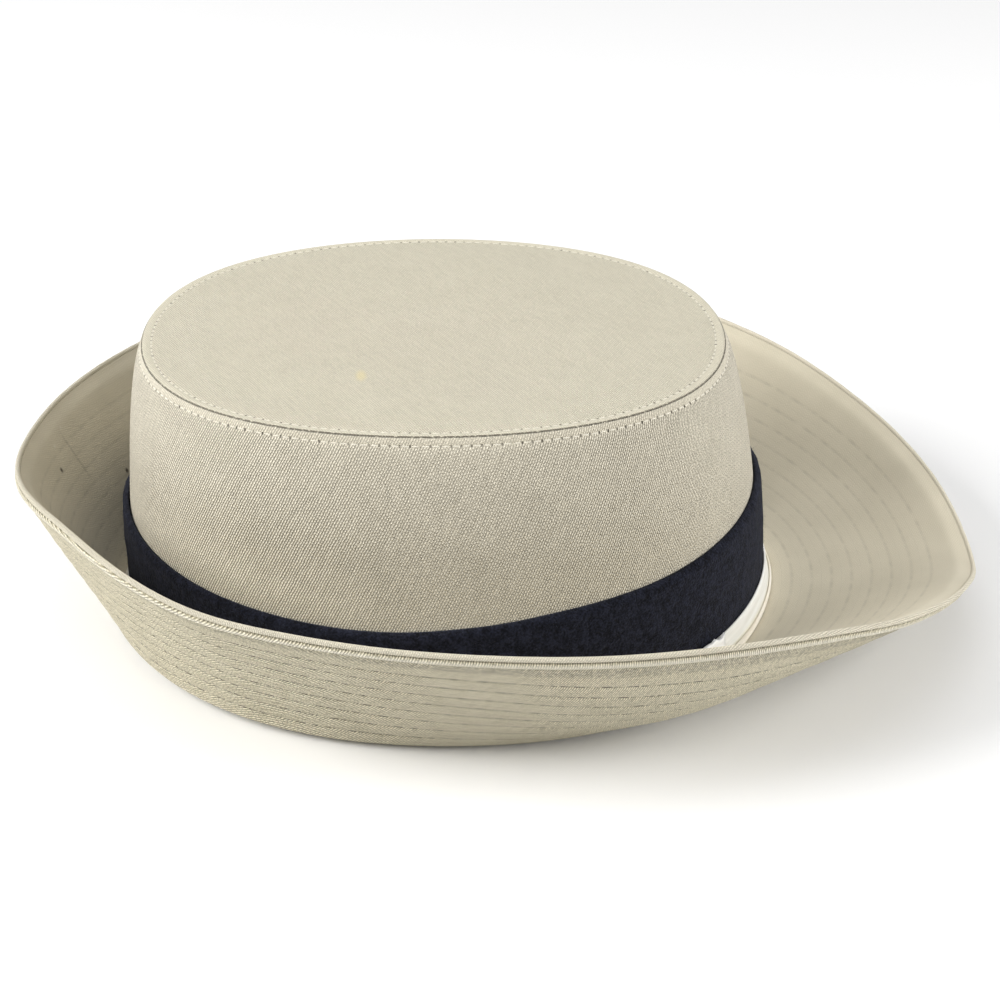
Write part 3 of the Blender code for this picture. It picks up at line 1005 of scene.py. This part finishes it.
# Wool band
# A strip of navy milled wool laid round the foot of the wall, with soft cut edges and a short nap
# of loose fibres.
BAND_HEIGHT = 0.0353
BAND_THICKNESS = 0.002
NAVY_DEEP = (0.0012, 0.0014, 0.003)
NAVY_PALE = (0.016, 0.018, 0.031)
WOOL_FINISH = {
    "Roughness": 0.95,
    "Specular IOR Level": 0.1,
    "Sheen Weight": 0.09,
    "Sheen Roughness": 0.6,
    "Sheen Tint": (0.5, 0.52, 0.62, 1.0),
}
BAND_EDGE = 0.0012  # over which the band's cut edges round off
BAND_LUMPS = 0.00022
BAND_FINE_LUMPS = 0.00012

foot_lengths = running_lengths([foot(azimuth) for azimuth in azimuths(BRIM_AROUND)])

# Its height at azimuths from the front, as a share of BAND_HEIGHT.
BAND_SECTIONS = table(
    "azimuth height",
    (0.0, 1.05),
    (45.0, 1.06),
    (70.0, 1.05),
    (85.0, 0.98),
    (100.0, 0.93),
    (125.0, 0.95),
    (180.0, 0.99),
)


def band_point(azimuth, share, proud):
    """A point of the band: a share of its height, and a distance out from the wall."""
    height = BAND_HEIGHT * between(BAND_SECTIONS, "azimuth", abs(azimuth), "height")
    return wall(azimuth, share * height / wall_height(azimuth), GAP + proud)


def band_outline(azimuth, girth):
    out = outward(azimuth)
    entries = []
    for share in (k / 25 for k in range(26)):
        edge = eased(min(share, 1 - share) * BAND_HEIGHT / BAND_EDGE)
        lump = BAND_LUMPS * noise.noise(Vector((out.x * 14.0, out.y * 14.0, share * 5.0)))
        lump += BAND_FINE_LUMPS * noise.noise(Vector((out.x * 60.0, out.y * 60.0, share * 22.0)))
        proud = BAND_THICKNESS * (0.45 + 0.55 * edge ** 0.5) + lump * edge
        entries.append((band_point(azimuth, share, proud), (girth, share * BAND_HEIGHT), (0.0, 0.0)))
    for share in (1.0 - k / 5 for k in range(6)):
        entries.append((band_point(azimuth, share, 0.0), (girth, share * BAND_HEIGHT), (0.0, 0.0)))
    return entries


def navy_wool():
    material, tree = new_material("navy_wool")
    where = wire(tree, "TexCoord", {}, "Object")
    tone = where.speckle(1500.0, detail=3.0) * 0.6 + where.speckle(420.0, detail=4.0) * 0.5
    dress(tree, WOOL_FINISH, tone.ramp(0.38, 0.75).blend(NAVY_DEEP, NAVY_PALE), tone, 1.0, 0.0008)
    return material


def band_piece():
    mesh = ring_of_cloth([band_outline(*column) for column in zip(azimuths(BRIM_AROUND), foot_lengths)])
    set_in_place("hat_band_wool", mesh, navy_wool(), "navy_wool", "hat_band")


band_piece()

NAP_COUNT = 7000
NAP_LENGTH = 0.0011
NAP_WIDTH = 0.00005
NAP_DEEP = (0.011, 0.012, 0.02)
NAP_PALE = (0.08, 0.085, 0.115)


def nap_piece():
    """Loose fibres that stand off the wool at slants, each a thin three-sided cone."""
    mesh = bmesh.new()
    fibre_mesh = bmesh.new()
    bmesh.ops.create_cone(fibre_mesh, segments=3, radius1=NAP_WIDTH / 2, radius2=NAP_WIDTH / 8, depth=1.0)
    fibre = made("fibre", fibre_mesh)
    for _ in range(NAP_COUNT):
        azimuth = uniform(-180.0, 180.0)
        share = uniform(0.0, 1.0)
        root = band_point(azimuth, share, BAND_THICKNESS * 0.9)
        lean = outward(azimuth) * uniform(0.2, 0.9)
        lean += Vector((uniform(-1, 1), uniform(-1, 1), uniform(-0.9, 0.7)))
        lean.normalize()
        length = NAP_LENGTH * uniform(0.5, 1.3)
        turn = lean.to_track_quat("Z", "Y").to_matrix().to_4x4()
        grow = Matrix.Diagonal((1.0, 1.0, length, 1.0))
        add_copy(mesh, fibre, Matrix.Translation(root + lean * length * 0.45) @ turn @ grow)
    material, tree = new_material("navy_nap")
    tone = wire(tree, "TexCoord", {}, "Object").speckle(900.0).ramp(0.35, 0.7)
    dress(tree, {"Roughness": 0.8}, tone.blend(NAP_DEEP, NAP_PALE))
    set_in_place("hat_band_nap", mesh, material, "navy_wool")


nap_piece()

# Satin tape
# Two strands of a white and cream satin tape, laid in the crease at the foot of the band. The inner
# one stands against the wool and the outer one lies on the brim; a small white keeper closes them.
TAPE_WIDTH = 0.007
TAPE_THICKNESS = 0.0008
SATIN_RIB = 0.0005
SATIN_FINISH = {"Roughness": 0.42, "Anisotropic": 0.4, "Sheen Weight": 0.5, "Sheen Roughness": 0.4}
STRAND_LEAN = 0.0003
STRAND_SPACE = 0.0006
KEEPER_AZIMUTH = -40.0
KEEPER_LENGTH = 0.012
KEEPER_THICKNESS = 0.0012
KEEPER_DEPTH = 0.6
KEEPER_RAG = 0.3  # how far its frayed top stands over the strand, as a share of its height
KEEPER_WHITE = (0.98, 0.98, 0.98)
STRAND_WANDER = 0.14  # how uneven a strand's folds are, as a share of their height
CREAM = (0.95, 0.91, 0.82)
CREAM_SHADE = (0.88, 0.80, 0.64)
WHITE = (0.95, 0.95, 0.92)
WHITE_SHADE = (0.80, 0.80, 0.75)
TROUGH_SHADE = (0.70, 0.66, 0.50)  # painted shade where the strands turn down towards each other
INNER_TROUGH = (0.0012, 0.0034)  # places across a strand where the painted trough shade starts and is full
OUTER_TROUGH = (-0.0002, -0.0012)

# Tape at azimuths from the front: how high its inner strand stands against the band and how far the
# outer strand reaches over the brim, as shares of TAPE_WIDTH.
TAPE_SECTIONS = table(
    "azimuth rise outer_reach",
    (-180.0, 0.85, 0.2),
    (-90.0, 0.9, 0.3),
    (-45.0, 1.0, 0.45),
    (-20.0, 1.05, 0.15),
    (0.0, 1.0, 0.12),
    (30.0, 0.95, 0.12),
    (90.0, 0.85, 0.2),
    (180.0, 0.85, 0.2),
)

# Each strand's section: place across it, from the band to the brim, and its face's height as a share
# of its thickness. The inner strand spreads at its foot.
STRAND_FOLDS = table(
    "place inner outer",
    (0.0, 0.35, 0.4),
    (0.04, 0.7, 0.85),
    (0.12, 0.95, 1.2),
    (0.25, 1.05, 1.45),
    (0.4, 1.12, 1.55),
    (0.55, 1.22, 1.5),
    (0.68, 1.38, 1.4),
    (0.8, 1.62, 1.2),
    (0.9, 1.85, 0.95),
    (0.97, 1.8, 0.7),
    (1.0, 1.45, 0.35),
)


def strand_ends(azimuth, strand):
    """Where a strand's lower face starts and ends."""
    rise = TAPE_WIDTH * between(TAPE_SECTIONS, "azimuth", azimuth, "rise")
    outer_reach = TAPE_WIDTH * between(TAPE_SECTIONS, "azimuth", azimuth, "outer_reach")
    line = BrimLine(azimuth)
    inner_start = BAND_THICKNESS + 2 * GAP
    inner_end = inner_start + GAP + STRAND_LEAN
    if strand == "inner":
        return wall(azimuth, rise / wall_height(azimuth), inner_start), line.at(inner_end, -GAP)
    outer_start = inner_end + TAPE_THICKNESS + STRAND_SPACE
    return line.at(outer_start, -GAP), line.at(outer_start + outer_reach, -GAP)


def strand_face(azimuth, low, high):
    """The way that a strand's upper face looks."""
    return (high - low).cross(UP.cross(outward(azimuth))).normalized()


def strand_outline(azimuth, length, strand):
    low, high = strand_ends(azimuth, strand)
    face = strand_face(azimuth, low, high)
    width = (high - low).length
    entries = []
    for fold in STRAND_FOLDS:
        place = fold["place"]
        wander = 1.0 + STRAND_WANDER * noise.noise(Vector((length * 60.0, place * 3.0, len(strand))))
        point = low.lerp(high, place) + face * TAPE_THICKNESS * fold[strand] * wander
        entries.append((point, (length, width * (place - 0.5)), (0.0, 0.0)))
    for share in (1.0, 0.66, 0.33, 0.0):
        entries.append((low.lerp(high, share), (length, width * (share - 0.5)), (0.0, 0.0)))
    return entries


def satin(name, colour, shade, trough=None):
    """Satin with fine ribs across, soft creases along, painted shade in the creases' hollows and at the
    trough.
    """
    material, tree = new_material(name)
    flat = on_map(tree, "cloth")
    creases = flat.speckle(260.0, stretch=(0.25, 2.0, 1.0), detail=3.0)
    colour = creases.ramp(0.3, 0.75).blend(shade, colour)
    if trough:
        colour = flat.part(1).ramp(*trough).blend(colour, TROUGH_SHADE)
    dress(tree, SATIN_FINISH, colour, creases * 0.8 + flat.ribbing(SATIN_RIB, "X") * 0.2, 0.6, 0.0002)
    return material


def tape_piece(strand, cloth):
    columns = zip(azimuths(BRIM_AROUND), foot_lengths)
    mesh = ring_of_cloth([strand_outline(*column, strand) for column in columns])
    set_in_place(f"tape_{strand}_satin", mesh, cloth, "cream_satin", f"tape_{strand}")


tape_piece("inner", satin("white_satin_tape", WHITE, WHITE_SHADE, INNER_TROUGH))
tape_piece("outer", satin("cream_satin_tape", CREAM, CREAM_SHADE, OUTER_TROUGH))


def keeper_piece():
    """The sewn end of the tape, closed round its edges."""
    half = degrees(KEEPER_LENGTH / 2 / (FOOT_WIDTH / 2))
    mesh = bmesh.new()
    cloth = mesh.loops.layers.uv.new("cloth")
    bmesh.ops.create_cube(mesh, size=2.0)
    bmesh.ops.subdivide_edges(mesh, edges=mesh.edges, cuts=7, use_grid_fill=True)
    corners = {vertex: vertex.co.copy() for vertex in mesh.verts}
    for vertex, corner in corners.items():
        azimuth = KEEPER_AZIMUTH + half * corner.x
        low, high = strand_ends(azimuth, "inner")
        face = strand_face(azimuth, low, high)
        rounding = 1.0 - 0.35 * max(abs(corner.x), abs(corner.y)) ** 6
        lump = 1.0 + 0.3 * noise.noise(corner * 1.7)
        height = TAPE_THICKNESS * 1.4 + KEEPER_THICKNESS * ((corner.z + 1) / 2 * rounding * lump)
        top = KEEPER_RAG * (0.5 + noise.noise(Vector((corner.x * 2.6, 3.7, 0.0))))
        place = KEEPER_DEPTH * (0.5 + 0.5 * corner.y) - top * (0.5 - 0.5 * corner.y)
        vertex.co = low.lerp(high, place) + face * height
    for poly in mesh.faces:
        for loop in poly.loops:
            corner = corners[loop.vert]
            loop[cloth].uv = (corner.x * KEEPER_LENGTH / 2, corner.y * TAPE_WIDTH / 2)
    white = satin("white_satin_keeper", KEEPER_WHITE, WHITE)
    set_in_place("tape_keeper_satin", mesh, white, "white_satin", "tape_keeper")


keeper_piece()

# Floor, light and camera
# A white matt floor, a large soft light overhead, one at each side, and a camera at the height and
# side from which the hat was photographed.
CAMERA_ELEVATION = 26.32
CAMERA_AZIMUTH = -1.43
CAMERA_ROLL = 0.18
CAMERA_DISTANCE = 1.045
CAMERA_TARGET = Vector((-0.0185, 0.0, 0.04275))
CAMERA_OFFSET = (-0.01856, 0.00475)
PIXELS_PER_METRE = 3126.0
FLOOR_SIZE = 8.0
FLOOR_COLOUR = (0.97, 0.97, 0.97, 1.0)
WORLD_STRENGTH = 0.29


def make_floor():
    mesh = bmesh.new()
    bmesh.ops.create_grid(mesh, x_segments=2, y_segments=2, size=FLOOR_SIZE / 2)
    data = made("floor", mesh)
    material, tree = new_material("pale_floor")
    dress(tree, {"Roughness": 0.9}, FLOOR_COLOUR)
    data.materials.append(material)
    floor = in_scene("floor", data)


def add_light(name, energy, size, place):
    """A square softbox that faces the hat."""
    data = bpy.data.lights.new(name, "AREA")
    data.energy = energy
    data.size = size
    lamp = in_scene(name, data)
    lamp.location = place
    lamp.rotation_euler = (CAMERA_TARGET - Vector(place)).to_track_quat("-Z", "Y").to_euler()


def make_camera():
    rise, turn, roll = map(radians, (CAMERA_ELEVATION, CAMERA_AZIMUTH, CAMERA_ROLL))
    back = Vector((sin(turn) * cos(rise), -cos(turn) * cos(rise), sin(rise)))
    level = Vector((cos(turn), sin(turn), 0.0))
    upright = back.cross(level)
    right = level * cos(roll) + upright * sin(roll)
    up = upright * cos(roll) - level * sin(roll)
    data = bpy.data.cameras.new("camera")
    data.sensor_width = 36.0
    data.lens = PIXELS_PER_METRE * CAMERA_DISTANCE / 1000 * data.sensor_width
    camera = in_scene("camera", data)
    camera.rotation_euler = Matrix((right, up, back)).transposed().to_euler()
    shift = right * CAMERA_OFFSET[0] + up * CAMERA_OFFSET[1]
    camera.location = CAMERA_TARGET + back * CAMERA_DISTANCE - shift
    bpy.context.scene.camera = camera


make_floor()
add_light("overhead", 6.2, 1.6, (-0.1, 0.2, 1.6))
add_light("left_side", 32.0, 1.0, (-1.4, -0.35, 0.9))
add_light("right_side", 21.5, 1.0, (1.4, -0.45, 0.65))
make_camera()
world = bpy.data.worlds.new("studio")
world.use_nodes = True
sky = {"Color": (1.0, 1.0, 1.0, 1.0), "Strength": WORLD_STRENGTH}
feed(world.node_tree, world.node_tree.nodes["Background"], sky)
bpy.context.scene.world = world
bpy.context.scene.view_settings.view_transform = "Standard"
